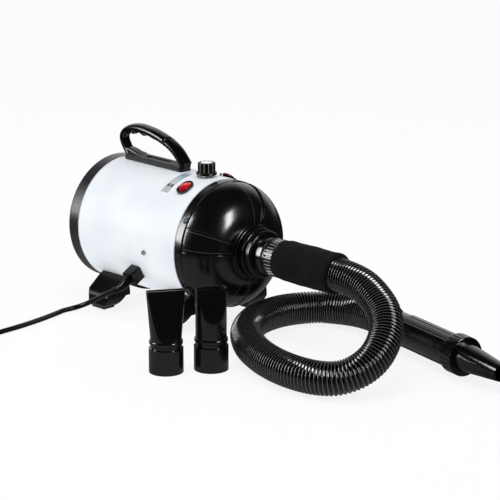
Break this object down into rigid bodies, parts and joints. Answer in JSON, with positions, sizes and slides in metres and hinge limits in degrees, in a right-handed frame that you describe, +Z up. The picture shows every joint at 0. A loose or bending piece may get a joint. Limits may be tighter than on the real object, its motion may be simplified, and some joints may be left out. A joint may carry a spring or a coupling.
{
  "type": "pet dryer",
  "caption": "Pet dryer: steel barrel with fan, motor and heater on two cradles, domed front, carrying handle, ribbed hose with wand, mains cord and loose flat nozzles.",
  "frame": {"origin": "on the floor, midway between the two cradles, under the barrel's axis", "axes": "+X along the barrel towards the air outlet, +Z up; -Y is the side with the mains cord's gland"},
  "size_m": [0.7278, 0.5327, 0.2476],
  "materials": {
    "white_paint": "satin enamel",
    "satin_black": "satin moulded",
    "gloss_black": "gloss moulded",
    "zinc": "zinc plated",
    "steel": "ground",
    "silver_cap": "spun",
    "red_lens": "lit lens",
    "grey_foam": "open-cell foam",
    "black_foam": "closed-cell foam",
    "soft_rubber": "matt",
    "cord_rubber": "satin",
    "brass_pins": "polished",
    "aluminium": "pressed",
    "copper": "lacquered winding",
    "carbon": "sintered carbon",
    "mica": "mica sheet",
    "nickel_wire": "resistance wire",
    "circuit_board": "epoxy glass",
    "nylon": "natural nylon",
    "hose_black": "ribbed flexible hose"
  },
  "bodies": {
    "machine": {"barrel": "white_paint", "rear_cap": "satin_black", "rear_grille": "satin_black", "filter_sponge": "grey_foam", "front_dome": "gloss_black", "outlet_collar": "gloss_black", "dome_screws": "zinc", "barrel_screws": "zinc", "handle_base": "satin_black", "handle_grip": "gloss_black", "handle_screws": "zinc", "potentiometer": "zinc", "heat_switch": "gloss_black", "power_switch": "gloss_black", "cord_gland": "satin_black", "mains_cord": "cord_rubber", "cord_coil": "cord_rubber", "mains_plug": "cord_rubber", "plug_pins": "brass_pins", "front_cradle": "satin_black", "rear_cradle": "satin_black", "rubber_feet": "soft_rubber", "cradle_screws": "zinc", "motor_plate": "zinc", "rear_rubber_mount": "soft_rubber", "fan_case": "aluminium", "diffuser": "aluminium", "motor_frame": "satin_black", "field_core": "steel", "field_windings": "copper", "motor_bearings": "steel", "carbon_brushes": "carbon", "front_rubber_mount": "soft_rubber", "motor_bracket": "zinc", "sound_foam": "grey_foam", "heat_shield": "zinc", "heater_frame": "mica", "heater_element": "nickel_wire", "thermal_cutout": "zinc", "control_board": "circuit_board", "board_pillars": "nylon", "hose_cuff": "gloss_black", "cuff_ring": "gloss_black", "foam_sleeve": "black_foam", "hose": "hose_black", "wand": "gloss_black", "wand_collar": "gloss_black", "cone_nozzle": "gloss_black", "wide_nozzle": "gloss_black", "narrow_nozzle": "gloss_black"},
    "rotor": {"impeller": "aluminium", "fan_nut": "steel", "armature": "steel", "commutator": "copper", "motor_shaft": "steel"},
    "knob": {"speed_knob": "gloss_black", "knob_cap": "silver_cap", "knob_spindle": "steel"},
    "heat_rocker_body": {"heat_rocker": "red_lens"},
    "power_rocker_body": {"power_rocker": "red_lens"}
  },
  "joints": [
    {"name": "rotor_spin", "type": "hinge", "parent": "machine", "child": "rotor", "pos_m": [0, 0, 0.11], "axis": [1, 0, 0], "continuous": true},
    {"name": "knob_turn", "type": "hinge", "parent": "machine", "child": "knob", "pos_m": [0.057, 0, 0.2], "axis": [0, 0, -1], "range_deg": [0, 300]},
    {"name": "heat_rock", "type": "hinge", "parent": "machine", "child": "heat_rocker_body", "pos_m": [0.057, 0.03904, 0.18663], "axis": [1, 0, 0], "range_deg": [0, 16]},
    {"name": "power_rock", "type": "hinge", "parent": "machine", "child": "power_rocker_body", "pos_m": [0.057, -0.03904, 0.18663], "axis": [1, 0, 0], "range_deg": [0, 16]}
  ]
}
